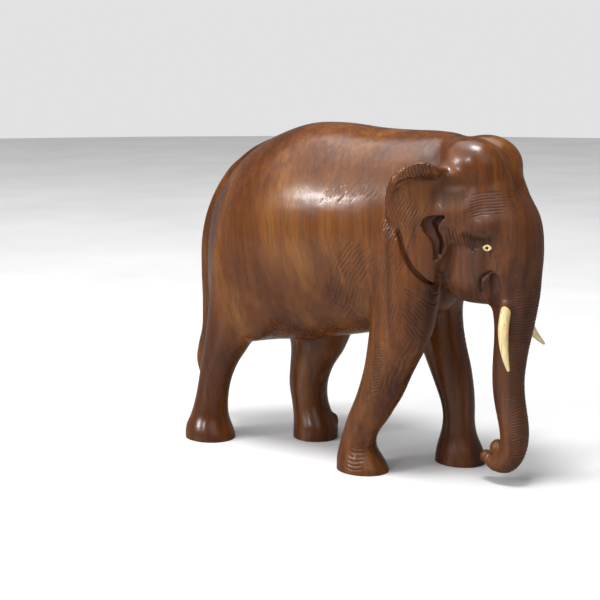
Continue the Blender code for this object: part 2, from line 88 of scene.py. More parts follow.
FRONT_RIGHT_LEG = [
    (21.4, -23, -4, 15, 13), (21.3, -23, 2, 15, 13), (19.4, -23, 7.5, 13, 11.8),
    (18, -23, 14, 10, 9.8), (20.2, -23, 21.5, 10, 9.8), (24.4, -23, 29, 11.5, 10.6),
    (28.4, -23, 36.5, 12.2, 11), (32.4, -23, 44, 13, 11.4), (37.4, -23, 57, 14, 12),
    (41.4, -23, 68, 16, 12.8), (44.6, -22.5, 80, 18, 13.6), (46, -22, 94, 19, 14.4),
    (46, -21.5, 112, 20, 15), (44, -19, 134, 16, 14),
]
FRONT_LEFT_LEG = [
    (55.8, 22, -4, 14.6, 13), (55.7, 22, 2, 14.4, 13), (55.2, 22, 8, 13.2, 12),
    (54.5, 22, 14, 10.8, 10.2), (54.4, 22, 21, 9.1, 9.2), (54.2, 22, 28, 9, 9.2),
    (53.2, 22, 35, 9.8, 9.8), (51, 22, 43, 11, 10.6), (47.4, 22, 54, 12.4, 11.4),
    (43, 22, 66, 13.4, 12.2), (39, 22, 80, 15, 13), (38, 21.5, 94, 17, 14),
    (40, 21, 112, 20, 15), (42, 19, 134, 16, 14),
]
LEGS = {
    "rear_right_leg": REAR_RIGHT_LEG,
    "rear_left_leg": REAR_LEFT_LEG,
    "front_right_leg": FRONT_RIGHT_LEG,
    "front_left_leg": FRONT_LEFT_LEG,
}
# Round masses: (x, y, z) and their three half sizes. Those off the middle come in mirrored pairs.
BRISKET = ((47, 0, 101), (17, 17, 17))
JAW = ((80, 0, 111), (17.5, 15.5, 15))
DOME = ((75.4, -9, 165), (20.4, 13.4, 16.2))
EAR_ROOT = ((69, -19, 146), (15, 11.5, 22))
TEMPLE = ((77, -18.6, 142), (13, 7.4, 17))
BROW = ((87, -15.8, 137.2), (12.6, 8.8, 9))
HAUNCH = ((-58, -19, 102), (24, 18.5, 42))
SHOULDER = ((42, -20, 120), (23, 17, 38))

# ---------------------------------------------------------------- the finer carving
TAIL = [
    (-57.6, 0, 172.6, 2.2, 3), (-64, 0, 169.2, 3, 3.4), (-71, 0, 165, 3.7, 3.7), (-79, 0, 159.3, 4, 3.7),
    (-87, 0, 153, 4, 3.6), (-96.4, 0, 141, 4, 3.6), (-103.4, 0, 127, 4, 3.6), (-107.2, 0, 112, 3.8, 3.6),
    (-107.8, 0, 94, 3.6, 3.6), (-107.4, 0, 76, 3.5, 3.5), (-108, 0, 60, 3.5, 3.5),
    (-110, 0, 48, 4.4, 4.4), (-111.2, 0, 40, 4.4, 4.6), (-111, 0, 32, 3, 3.4),
]
CHEEK = [
    (82.4, 0, 127, 10.6, 20.2), (79.9, 0, 120, 13.1, 20.6), (78.5, 0, 114.5, 14.5, 20.6),
    (77.9, 0, 109, 15.1, 20.6), (79.2, 0, 105, 13.8, 19.6), (80.8, 0, 102, 12.2, 17.5),
]
EAR_HINGE = ((67.5, -20, 124), (6, 7, 13))
UPPER_LOBE = ((91, 0, 18.4), (4.2, 4.8, 5))
LOWER_LOBE = ((84, 0, 13.2), (3, 4.2, 3.4))
TUSK_SHEATH = ((99.6, -9.4, 96.8), (4.4, 3.8, 5))
LIP = ((90.8, -14.2, 105.4), (2.9, 4, 6.6))
HEEL = ((-30, 20.6, 9.4), (3.4, 3.4, 5))
# An ear is lofted from its fold to its tip about its own middle, then turned and put in its place.
EAR_PLACE = (60, -30.6, 0)
EAR_YAW = 17.0              # degrees that an ear's back edge stands off from the body
EAR_CURL_START = 3.0        # forwards of this an ear bends in towards the head
EAR_CURL = 0.02             # its sideways shift there, per square millimetre forwards
EAR = [
    (1, 0, 165, 12, 2), (-0.5, 0, 160, 15, 2.6), (-1.5, 0, 151, 16.8, 2.6), (-0.5, 0, 141, 17.2, 2.6),
    (2.4, 0, 135, 14.4, 2.6), (3.2, 0, 130, 12.8, 2.6), (3.4, 0, 125, 11.6, 2.6), (3, 0, 121, 9.8, 2.6),
    (3, 0, 116, 7.2, 2.5), (4.6, 0, 112, 4.6, 2.3), (6.2, 0, 109, 2.3, 2), (7.2, 0, 107.4, 0.9, 1.4),
]
# The ear's upper edge flares outwards above its fold; the last number is how far it leans, in degrees.
EAR_FLARE = [
    (47.6, -37.8, 153.4, 1.2, 1.2, 20), (51, -38.2, 158, 2.8, 1.5, 30), (56, -37.8, 161.8, 4, 1.6, 34),
    (61.5, -36.8, 164.4, 5, 1.6, 38), (65.4, -34.8, 165, 4.8, 1.6, 38), (68.6, -32.4, 164.4, 3.7, 1.6, 31),
    (71, -29.8, 163.2, 2.1, 1.4, 22),
]

# ---------------------------------------------------------------- the tusks and the eyes
TUSK_RIGHT = [
    (99.6, -8.8, 102, 2, 2), (99.8, -10.2, 97, 2.5, 2.5), (99.8, -12.2, 91.4, 2.7, 2.7),
    (100, -13.8, 84.6, 2.7, 2.7), (101, -14.8, 77, 2.3, 2.3), (102.6, -15.2, 70, 1.6, 1.6),
    (104.4, -15.4, 64.6, 0.7, 0.7),
]
TUSK_LEFT = [
    (98.4, 7.4, 102, 2, 2), (98.6, 8.8, 97, 2.5, 2.5), (98.8, 10.2, 91.4, 2.7, 2.7),
    (99.4, 12.6, 85.6, 2.7, 2.7), (100.8, 15.6, 80, 2.3, 2.3), (102.8, 19.2, 75.6, 1.5, 1.5),
    (104.6, 22, 72.4, 0.7, 0.7),
]
EYE_CENTRE = (93.4, -20.6, 126.6)   # right eye; the left one is its mirror image
EYE_YAW = 14.0              # degrees that the eye faces forwards of sideways
EYE_LENGTH = 4.6
EYE_HEIGHT = 3.2
EYE_DEPTH = 2.6
EYE_CROWN = 0.5             # how much of the depth is domed
EYE_POINT = 1.4             # 1 is an oval, more draws the corners out
EYE_PROUD = 0.35            # both inlays stand this far out of the wood
PUPIL_DIAMETER = 1.5
PUPIL_DEPTH = 1.6
PUPIL_CROWN = 0.3
PUPIL_HOLE = PUPIL_DIAMETER + 0.2
INLAY_SEGMENTS = 64

# ---------------------------------------------------------------- recesses, all on the right side
# Soft hollows: place, reach (x, y, z), inward depth and how much painted shade darkens the wood there.
HOLLOWS = {
    "temple": ((74.8, -22, 152.6), (12.5, 18, 11), 3.4, 1.0),
    "under_dome": ((75.6, -22, 157.6), (7, 14, 4.6), 1.3, 0.9),
}
# Sharp pockets: an outline in x and z, and the y of the floor at POCKET_MIDDLE and its slope along x.
POCKET_MIDDLE = 66
POCKETS = {
    "ear_opening":
    ([(61.6, 136.8), (62.6, 140), (66, 141.6), (70, 142), (74.6, 142.4), (72.2, 139.8), (70, 137.4),
      (69.8, 134.6), (71.6, 131), (72.2, 126.6), (71.2, 123), (69, 118.2), (68, 119), (68, 123.4),
      (67.4, 127.4), (65.6, 130.8), (63.2, 133.2)], -28.2, 0.3),
    "deeper_ear_opening":
    ([(65.6, 138.4), (68, 140.8), (71, 141.4), (74, 142), (72.2, 139.8), (70, 137.4), (69.8, 134.6),
      (71.6, 131), (72.2, 126.6), (71.2, 123), (69.4, 119.6), (69.6, 125), (69.8, 128.4), (68.4, 131.8),
      (67.4, 134.8)], -25.6, 0.3),
    "mouth_corner":
    ([(93.4, 113), (96.4, 113.8), (98.4, 111.6), (98.2, 106), (96.6, 99), (95, 93.4), (93.6, 96),
      (93.6, 104), (93, 109)], -14.2, 0.0),
}
CUTTER_REACH = 60.0         # the cutters start this far out from the middle plane
POCKET_RIM = 0.8            # the painted shade of a pocket starts this far outside its outline
POCKET_SHADE = 3.5          # and fades out this far above its floor
POCKET_BOX_IN = 4.0
POCKET_BOX_OUT = 6.0        # how far inside and outside of the floor's y points are looked for
POCKET_PAINTED_SHADE = 0.85          # how dark the painted shade is on its floor
# Grooves: a path, the half width and the depth.
GROOVES = {
    "ear_edge":
    ([(49, -36, 134.5), (51.1, -36, 128.6), (53.4, -35, 121.8), (56, -34, 116.4), (60.3, -32, 111),
      (64.2, -30, 108), (68, -28, 106)], 1.0, 2.0),
    "cheek_edge":
    ([(71.4, -17, 125.6), (66.4, -17, 120), (63.4, -17, 114.5), (62, -17, 109), (64.8, -17, 104)], 1.5, 3.4),
    "mouth_arch":
    ([(89.8, -18, 101.4), (89.4, -18, 107.3), (90.3, -18, 110.8), (93.4, -18, 113.8), (96.6, -17, 114.4)],
     0.9, 1.5),
    "brow_crease":
    ([(80, -21, 132.6), (84.8, -21, 131.2), (89.1, -21, 130), (92.9, -20, 129.9), (96.9, -19, 131.4)],
     1.8, 0.5),
    "ear_fold":
    ([(49.6, -36, 155), (54, -36, 158.6), (59.4, -35, 160.2), (64.5, -34, 160.2), (70.4, -32, 159.6)],
     0.8, 0.9),
}
GROOVE_REACH_IN = 5.0       # how far from its path, sideways, a groove still cuts
GROOVE_TAPER = 3.0          # length over which its ends fade in
GROOVE_PAINTED_SHADE = 0.9           # how dark the painted shade is in it
CREASE = [
    (60, 0, 177), (71, 0, 179.6), (80, 0, 180), (91, 0, 175.6), (97.6, 0, 165), (100, 0, 156),
    (102.4, 0, 147),
]
CREASE_WIDTH = 3.4
CREASE_DEPTH = 2.4
CREASE_TAPER = 12.0
# how dark the painted shade is in the crease
CREASE_PAINTED_SHADE = 0.25

# ---------------------------------------------------------------- engraved strokes
# A patch of strokes: name: centre (x, y, z), half sizes of the patch along and across its lie, the lie
# and the strokes' direction in degrees from +X, pitch, depth, length of a stroke, and sideways bend.
PATCHES = {
    "back_low": ((19, -34, 156), 15, 8.5, 8, 54, 1.45, 0.12, 16, 0.004),
    "back_high": ((10, -26, 167), 24, 7, 2, 62, 1.7, 0.12, 13, 0.004),
    "flank_high": ((25, -36, 114), 10, 9, 60, 50, 2.0, 0.22, 13, 0.006),
    "flank_low": ((14, -33, 96), 12, 10, 40, 58, 2.0, 0.22, 12, -0.012),
    "shoulder_high": ((45, -36, 113), 9.5, 11, 0, 68, 1.9, 0.12, 14, 0.004),
    "shoulder_low": ((42, -36, 92), 9, 11, 0, 72, 2.0, 0.20, 15, -0.004),
    "chest": ((58, -31, 92), 13, 6, 75, -50, 1.7, 0.34, 9, 0.02),
    "leg_band": ((37.2, -35, 58), 17, 3.4, 77, 14, 1.55, 0.30, 8, 0.02),
    "leg_long": ((51.5, -29, 60), 17, 6.5, 62, 64, 2.0, 0.2, 16, 0.004),
    "ankle": ((24, -33, 10.4), 8, 4.4, 84, -4, 2.2, 0.24, 30, -0.03),
    "ear": ((51.5, -37, 138.5), 12.5, 8.5, 66, 66, 1.6, 0.30, 17, 0.004),
    "ear_flare": ((60, -36, 163.8), 11.5, 4, 6, 86, 1.6, 0.42, 30, 0),
    "brow_under": ((84, -22, 129.4), 12.5, 4.8, -10, 92, 1.6, 0.5, 30, 0),
    "temple": ((92.4, -16, 148.6), 9, 7, 6, 9, 1.5, 0.16, 14, 0.012),
    "jaw": ((75, -18, 100.6), 14, 4, 1, 88, 1.6, 0.45, 30, 0),
    "neck": ((62, -20, 172), 10, 5, -8, 62, 1.5, 0.06, 12, 0),
}
PATCH_REACH_IN = 11         # how far from its centre, sideways, a patch still cuts
PATCH_MARGIN = 1.25         # the finer mesh under a patch is this much larger than the patch
STROKE_KINDS = 512          # how many different strokes are drawn before they repeat
STROKE_HALF_WIDTH = 0.20    # as a share of the pitch
STROKE_FADE = 1.4           # length over which a stroke's ends fade in
STROKE_WAVER = 0.10         # how far a stroke wavers, as a share of the pitch
# how dark the painted shade is in the strokes
STROKE_PAINTED_SHADE = 0.75
RAGGED = 0.28               # how unevenly a patch's border runs
LEFT_OFFSET = 0.37          # share of the pitch that the left side's strokes are shifted by
RING_PITCH = 1.3
RING_DEPTH = 0.34
RING_HALF_WIDTH = 0.24      # as a share of the pitch
# how dark the painted shade is in the trunk's rings
RING_PAINTED_SHADE = 0.6
RING_SLANT = 1.6            # how much higher up the trunk a ring runs on its front
RING_START = 16             # distance down the trunk's path at which the rings begin
RING_BOX = ((84, -22, 0), (116, 22, 146))
# Facing limits: strokes cut where the normal's y, on the folded right side, is below these.
GROOVE_FACING = 0.3
STROKE_FACING = 0.35
POCKET_FACING = 0.6

# ---------------------------------------------------------------- shapes
def mesh_object(name, bm, collection):
    """Finish a bmesh as an object whose faces point outwards."""
    bmesh.ops.recalc_face_normals(bm, faces=bm.faces)
    mesh = bpy.data.meshes.new(name)
    bm.to_mesh(mesh)
    bm.free()
    obj = bpy.data.objects.new(name, mesh)
    collection.objects.link(obj)
    return obj


def smooth_rows(rows, steps):
    """A Catmull-Rom curve through the rows, with `steps` rows to each interval."""
    rows = np.asarray(rows, dtype=float)
    padded = np.vstack([2 * rows[0] - rows[1], rows, 2 * rows[-1] - rows[-2]])
    smooth = []
    for i in range(len(rows) - 1):
        before, start, end, after = padded[i:i + 4]
        for t in np.arange(steps) / steps:
            smooth.append(0.5 * (2 * start + (end - before) * t
                                 + (2 * before - 5 * start + 4 * end - after) * t ** 2
                                 + (3 * start - before - 3 * end + after) * t ** 3))
    smooth.append(rows[-1])
    return np.array(smooth)


def loft(name, stations, collection, axis=None, sides=48, steps=8, power=2.0):
    """A closed body through elliptical stations, with rounded ends.

    The sections are square to the axis, or to the line of their centres if none is given.
    A power above 2 squares their outlines off. A sixth number in a station leans its section.
    """
    rows = smooth_rows(stations, steps)
    centres = rows[:, :3]
    halves = rows[:, 3:5]
    lean = np.radians(rows[:, 5]) if rows.shape[1] > 5 else np.zeros(len(rows))
    tangents = np.gradient(centres, axis=0) if axis is None else np.tile(axis, (len(rows), 1))
    tangents = tangents / np.linalg.norm(tangents, axis=1)[:, None]
    level = np.array([0.0, 1.0, 0.0]) - tangents * tangents[:, 1:2]
    level /= np.linalg.norm(level, axis=1)[:, None]
    upright = np.cross(level, tangents)
    turn, lift = np.cos(lean)[:, None], np.sin(lean)[:, None]
    fore = upright * turn + level * lift
    across = level * turn - upright * lift

    sections = []
    for end, way in ((0, -1), (-1, 1)):
        bulge = min(halves[end]) * CAP_BULGE
        caps = [(centres[end] + way * tangents[end] * bulge * math.sin(a), halves[end] * math.cos(a), end)
                for a in np.radians(CAP_ANGLES)]
        sections.append(caps)
    plain = [(centres[i], halves[i], i) for i in range(len(rows))]
    sections = sections[0][::-1] + plain + sections[1]

    bm = bmesh.new()
    rings = []
    for centre, half, i in sections:
        ring = []
        for k in range(sides):
            angle = 2 * math.pi * k / sides
            u = math.copysign(abs(math.cos(angle)) ** (2 / power), math.cos(angle))
            v = math.copysign(abs(math.sin(angle)) ** (2 / power), math.sin(angle))
            ring.append(bm.verts.new((centre + fore[i] * half[0] * u + across[i] * half[1] * v) * MM))
        rings.append(ring)
    for lower, upper in zip(rings, rings[1:]):
        for k in range(sides):
            bm.faces.new((lower[k], lower[k - 1], upper[k - 1], upper[k]))
    bm.faces.new(rings[0])
    bm.faces.new(rings[-1])
    return mesh_object(name, bm, collection)


def ellipsoid(name, centre, halves, collection):
    """A ball stretched to three half sizes."""
    bm = bmesh.new()
    bmesh.ops.create_uvsphere(bm, u_segments=48, v_segments=32, radius=1.0)
    place = Matrix.Translation(Vector(centre) * MM) @ Matrix.Diagonal((*(h * MM for h in halves), 1.0))
    bmesh.ops.transform(bm, matrix=place, verts=bm.verts)
    return mesh_object(name, bm, collection)


def mirrored(point):
    """The same place on the elephant's other side."""
    return (point[0], -point[1], *point[2:])


def both_sides(name, centre, halves, collection):
    """A pair of balls, one on each side."""
    return [ellipsoid("right_" + name, centre, halves, collection),
            ellipsoid("left_" + name, mirrored(centre), halves, collection)]


def bake(obj):
    """Apply an object's modifiers to its mesh."""
    graph = bpy.context.evaluated_depsgraph_get()
    mesh = bpy.data.meshes.new_from_object(obj.evaluated_get(graph))
    obj.modifiers.clear()
    obj.data = mesh


def merge(name, pieces, voxel, rounds, collection):
    """Unite overlapping pieces on a grid and smooth the seams between them."""
    bm = bmesh.new()
    for piece in pieces:
        piece.data.transform(piece.matrix_world)
        bm.from_mesh(piece.data)
        bpy.data.objects.remove(piece, do_unlink=True)
    mesh = bpy.data.meshes.new(name)
    bm.to_mesh(mesh)
    bm.free()
    obj = bpy.data.objects.new(name, mesh)
    collection.objects.link(obj)
    remesh = obj.modifiers.new("Merge", "REMESH")
    remesh.mode = "VOXEL"
    remesh.voxel_size = voxel * MM
    smooth = obj.modifiers.new("Blend", "SMOOTH")
    smooth.factor = 0.5
    smooth.iterations = rounds
    bake(obj)
    return obj


def ear(side, collection):
    """One ear with its flared upper edge; side is -1 for the right ear and 1 for the left."""
    blade = loft("ear_blade", EAR, collection, axis=DOWNWARDS, power=EAR_POWER)
    points = mesh_points(blade)
    points[:, 1] -= side * EAR_CURL * np.clip(points[:, 0] - EAR_CURL_START, 0, None) ** 2
    set_mesh_points(blade, points)
    blade.location = Vector((EAR_PLACE[0], -side * EAR_PLACE[1], EAR_PLACE[2])) * MM
    blade.rotation_euler.z = -side * math.radians(EAR_YAW)
    bpy.context.view_layer.update()
    flare = loft("ear_flare", [(x, -side * y, z, h, w, -side * lean) for x, y, z, h, w, lean in EAR_FLARE],
                 collection, power=FLARE_POWER)
    return [blade, flare]


def mesh_points(obj):
    """An object's vertices as an array in millimetres."""
    points = np.empty(len(obj.data.vertices) * 3)
    obj.data.vertices.foreach_get("co", points)
    return points.reshape(-1, 3) / MM


def set_mesh_points(obj, points):
    """Write an array in millimetres back to an object's vertices."""
    obj.data.vertices.foreach_set("co", (points * MM).ravel())
    obj.data.update()


def mesh_normals(obj):
    """An object's vertex normals as an array."""
    normals = np.empty(len(obj.data.vertices) * 3)
    obj.data.vertex_normals.foreach_get("vector", normals)
    return normals.reshape(-1, 3)


class Skin:
    """The carving's points with the left side folded onto the right, so that one table serves both."""

    def __init__(self, obj):
        self.obj = obj
        points = mesh_points(obj)
        self.side = np.where(points[:, 1] > 0, -1.0, 1.0)
        self.fold = np.stack([np.ones(len(points)), self.side, np.ones(len(points))], axis=1)
        self.points = points * self.fold
        self.normals = mesh_normals(obj) * self.fold
        self.sink = np.zeros(len(points))
        # How much painted shade darkens the wood at each point.
        self.painted_shade = np.zeros(len(points))

    def near(self, low, high):
        """The indices of the points inside a box."""
        inside = np.all((self.points > low) & (self.points < high), axis=1)
        return np.nonzero(inside)[0]

    def facing(self, near, limit):
        """1 where these points face sideways, out of the right side, falling to 0 at the limit."""
        return smoothstep((limit - self.normals[near, 1]) * 4)

    def mark(self, near, share, depth, painted_shade_level):
        """Note how deep these points are to be sunk and how much painted shade darkens them; the strongest
        mark counts.
        """
        self.sink[near] = np.maximum(self.sink[near], depth * share)
        self.painted_shade[near] = np.maximum(self.painted_shade[near], painted_shade_level * share)

    def write(self):
        """Move the mesh to the skin's points and take its new normals."""
        set_mesh_points(self.obj, self.points * self.fold)
        self.normals = mesh_normals(self.obj) * self.fold

    def engrave(self):
        """Sink the points along their normals, and start again from the new shape."""
        self.points -= self.normals * self.sink[:, None]
        self.sink[:] = 0
        self.write()


def smoothstep(x):
    """0 below 0, 1 above 1 and smooth between."""
    x = np.clip(x, 0, 1)
    return x * x * (3 - 2 * x)


def press_hollows(skin):
    """Soft hollows, pressed towards the middle plane, with painted shade in them."""
    for centre, reach, depth, painted_shade_level in HOLLOWS.values():
        distance = np.linalg.norm((skin.points - centre) / reach, axis=1)
        fall = np.clip(1 - distance ** 2, 0, None) ** 2
        skin.points[:, 1] += depth * fall
        # Painted shade in the hollows, strongest at their middle.
        skin.painted_shade = np.maximum(skin.painted_shade, painted_shade_level * fall)
    skin.write()


def outline_depth(points, outline):
    """How deep each point lies inside an outline in x and z; negative outside."""
    flat = points[:, [0, 2]]
    outline = np.asarray(outline, dtype=float)
    gap = np.full(len(flat), FAR)
    inside = np.zeros(len(flat), dtype=bool)
    for a, b in zip(outline, np.roll(outline, -1, axis=0)):
        step = b - a
        t = np.clip((flat - a) @ step / (step @ step), 0, 1)
        gap = np.minimum(gap, np.linalg.norm(flat - a - t[:, None] * step, axis=1))
        crosses = (a[1] > flat[:, 1]) != (b[1] > flat[:, 1])
        rise = step[1] or TINY
        inside ^= crosses & (flat[:, 0] < a[0] + (flat[:, 1] - a[1]) * step[0] / rise)
    return np.where(inside, gap, -gap)


def pocket_cutter(outline, floor, slope, side, collection):
    """A prism over an outline, from outside the body in to the pocket's floor; side 1 is the right."""
    bm = bmesh.new()
    inner = [bm.verts.new((x * MM, side * (floor + slope * (x - POCKET_MIDDLE)) * MM, z * MM))
             for x, z in outline]
    outer = [bm.verts.new((x * MM, side * -CUTTER_REACH * MM, z * MM)) for x, z in outline]
    bm.faces.new(inner)
    bm.faces.new(outer)
    for k in range(len(outline)):
        bm.faces.new((inner[k - 1], inner[k], outer[k], outer[k - 1]))
    bmesh.ops.triangulate(bm, faces=bm.faces)
    return mesh_object("pocket_cutter", bm, collection)


def cut_pockets(body, collection):
    """Cut the pockets straight in from both sides, with their floors following the surface."""
    cutters = [pocket_cutter(*pocket, side, collection) for pocket in POCKETS.values() for side in (1, -1)]
    for cutter in cutters:
        cut = body.modifiers.new("Pocket", "BOOLEAN")
        cut.operation = "DIFFERENCE"
        cut.solver = "MANIFOLD"
        cut.object = cutter
    bake(body)
    for cutter in cutters:
        bpy.data.objects.remove(cutter, do_unlink=True)


def paint_pocket_shade(skin):
    """Paint shade on the floors and the walls of the pockets, darker with depth."""
    for outline, floor, slope in POCKETS.values():
        low_x, low_z = np.min(outline, axis=0)
        high_x, high_z = np.max(outline, axis=0)
        near = skin.near((low_x - 1, floor - POCKET_BOX_OUT, low_z - 1),
                         (high_x + 1, floor + POCKET_BOX_IN, high_z + 1))
        points = skin.points[near]
        depth = points[:, 1] - floor - slope * (points[:, 0] - POCKET_MIDDLE)
        share = smoothstep(outline_depth(points, outline) + POCKET_RIM) * smoothstep(1 + depth / POCKET_SHADE)
        skin.mark(near, share * skin.facing(near, POCKET_FACING), 0, POCKET_PAINTED_SHADE)


def along_path(points, path, flat):
    """Each point's distance to a path, and how far along it the nearest place is."""
    weight = np.array([1.0, 0.0 if flat else 1.0, 1.0])
    points = points * weight
    path = path * weight
    gap = np.full(len(points), FAR)
    along = np.zeros(len(points))
    travelled = 0.0
    for a, b in zip(path, path[1:]):
        step = b - a
        length = np.linalg.norm(step)
        t = np.clip((points - a) @ step / length ** 2, 0, 1)
        distance = np.linalg.norm(points - a - t[:, None] * step, axis=1)
        nearer = distance < gap
        gap[nearer] = distance[nearer]
        along[nearer] = travelled + t[nearer] * length
        travelled += length
    return gap, along, travelled


def groove(skin, path, width, depth, flat=True, taper=GROOVE_TAPER, painted_shade_level=GROOVE_PAINTED_SHADE):
    """A tapering groove along a path, with painted shade in it; a flat one runs on the side and is seen
    square to it.
    """
    path = smooth_rows(path, 6)
    reach = np.array([3 * width, GROOVE_REACH_IN if flat else 3 * width, 3 * width])
    near = skin.near(path.min(axis=0) - reach, path.max(axis=0) + reach)
    gap, along, length = along_path(skin.points[near], path, flat)
    ends = smoothstep(np.minimum(along, length - along) / taper + 0.15)
    share = np.exp(-(gap / width) ** 2) * ends
    if flat:
        share = share * skin.facing(near, GROOVE_FACING)
    skin.mark(near, share, depth, painted_shade_level)


def patch_frame(points, centre, lie, angle, bend):
    """Coordinates in a patch: along and across its lie, and along and across its strokes."""
    x = points[:, 0] - centre[0]
    z = points[:, 2] - centre[2]
    lie = math.radians(lie)
    angle = math.radians(angle)
    u = x * math.cos(lie) + z * math.sin(lie)
    v = z * math.cos(lie) - x * math.sin(lie)
    s = x * math.cos(angle) + z * math.sin(angle)
    t = z * math.cos(angle) - x * math.sin(angle) + bend * s * s
    return u, v, s, t


def hatch(skin, seed, centre, long, wide, lie, angle, pitch, depth, stroke, bend):
    """A patch of tapering chisel strokes with ragged ends, with painted shade in them."""
    rng = np.random.default_rng(seed)
    ragged = rng.uniform(-RAGGED, RAGGED, STROKE_KINDS)
    offset = rng.uniform(0, 1, STROKE_KINDS)
    heavy = rng.uniform(0.65, 1.0, STROKE_KINDS)
    reach = math.hypot(long, wide) + 2
    box = np.array((reach, PATCH_REACH_IN, reach))
    near = skin.near(centre - box, centre + box)
    u, v, s, t = patch_frame(skin.points[near], centre, lie, angle, bend)
    t = t + STROKE_WAVER * pitch * np.sin(s * 0.5 + seed)
    t = t + np.where(skin.side[near] < 0, LEFT_OFFSET * pitch, 0)
    phase = t / pitch
    k = np.floor(phase).astype(int)
    index = (k + STROKE_KINDS // 4) % STROKE_KINDS
    across = phase - k - 0.5
    edge = 1 - np.maximum(np.abs(u) / long, np.abs(v) / wide) + ragged[index]
    share = smoothstep(edge * 4)
    part = (s / stroke + offset[index]) % 1.0
    share = share * smoothstep(np.minimum(part, 1 - part) * stroke / STROKE_FADE)
    share = share * np.exp(-(across / STROKE_HALF_WIDTH) ** 2) * heavy[index]
    skin.mark(near, share * skin.facing(near, STROKE_FACING), depth, STROKE_PAINTED_SHADE)


def trunk_rings(skin):
    """Close rings across the front and the outer sides of the trunk, with painted shade in them."""
    path = smooth_rows([station[:3] for station in TRUNK], 8)
    near = skin.near(*RING_BOX)
    points = skin.points[near]
    _, along, length = along_path(points, path, False)
    tangents = np.gradient(path, axis=0)
    tangents /= np.linalg.norm(tangents, axis=1)[:, None]
    travelled = np.concatenate([[0], np.cumsum(np.linalg.norm(np.diff(path, axis=0), axis=1))])
    centre = np.stack([np.interp(along, travelled, path[:, i]) for i in range(3)], axis=1)
    tangent = np.stack([np.interp(along, travelled, tangents[:, i]) for i in range(3)], axis=1)
    outwards = points - centre
    outwards /= np.linalg.norm(outwards, axis=1)[:, None] + TINY
    front = np.cross((0.0, 1.0, 0.0), tangent)
    front *= np.where(front[:, :1] < 0, -1, 1)
    facing = np.sum(outwards * front, axis=1)
    turn = np.arctan2(-outwards[:, 1], facing)
    wave = 0.25 * np.sin(3 * turn + 0.35 * along) + 0.2 * np.sin(0.9 * along)
    phase = (along + wave + RING_SLANT * facing) / RING_PITCH
    across = phase - np.floor(phase) - 0.5
    share = np.exp(-(across / RING_HALF_WIDTH) ** 2)
    share = share * smoothstep((facing - 0.16) * 5)
    start = RING_START + 6 * np.sin(2.2 * turn)
    share = share * smoothstep((along - start) / 10) * smoothstep((length - along) / 4)
    # Above the curled tip the rings keep to the trunk's front, further forwards towards the brow.
    back_edge = 94 + 0.09 * np.clip(points[:, 2] - 90, 0, None)
    share = share * smoothstep((points[:, 0] - back_edge) / 3 + (points[:, 2] < 30) * 5)
    skin.mark(near, share, RING_DEPTH, RING_PAINTED_SHADE)


def engraved_zone(points):
    """True where the engraving needs a finer mesh."""
    zone = (points[:, 0] > 93) & (points[:, 2] < 142) & (np.abs(points[:, 1]) < 24)
    folded = points * np.stack([np.ones(len(points)), np.where(points[:, 1] > 0, -1, 1),
                                np.ones(len(points))], axis=1)
    for centre, long, wide, lie, angle, _, _, _, bend in PATCHES.values():
        u, v, _, _ = patch_frame(folded, centre, lie, angle, bend)
        zone |= ((np.abs(u) < long * PATCH_MARGIN) & (np.abs(v) < wide * PATCH_MARGIN)
                 & (np.abs(folded[:, 1] - centre[1]) < PATCH_REACH_IN))
    return zone


def refine(obj):
    """Split the faces in the engraved zones into four."""
    bm = bmesh.new()
    bm.from_mesh(obj.data)
    zone = engraved_zone(mesh_points(obj))
    bm.verts.ensure_lookup_table()
    edges = [edge for edge in bm.edges if zone[edge.verts[0].index] and zone[edge.verts[1].index]]
    bmesh.ops.subdivide_edges(bm, edges=edges, cuts=1, use_grid_fill=True)
    bmesh.ops.triangulate(bm, faces=[face for face in bm.faces if len(face.verts) > 4])
    bm.to_mesh(obj.data)
    bm.free()


def saw_soles(obj):
    """Cut the block off flat at z = 0, so that it stands on its four soles."""
    bm = bmesh.new()
    bm.from_mesh(obj.data)
    everything = bm.verts[:] + bm.edges[:] + bm.faces[:]
    bmesh.ops.bisect_plane(bm, geom=everything, plane_co=(0, 0, 0), plane_no=(0, 0, -1), clear_outer=True)
    rims = [edge for edge in bm.edges if edge.is_boundary]
    bmesh.ops.holes_fill(bm, edges=rims, sides=0)
    bmesh.ops.triangulate(bm, faces=[face for face in bm.faces if len(face.verts) > 4])
    bm.to_mesh(obj.data)
    bm.free()


def thin_out(obj, triangles):
    """Collapse the mesh to about this many triangles."""
    obj.data.calc_loop_triangles()
    count = len(obj.data.loop_triangles)
    if count > triangles:
        decimate = obj.modifiers.new("Thin", "DECIMATE")
        decimate.ratio = triangles / count
        bake(obj)


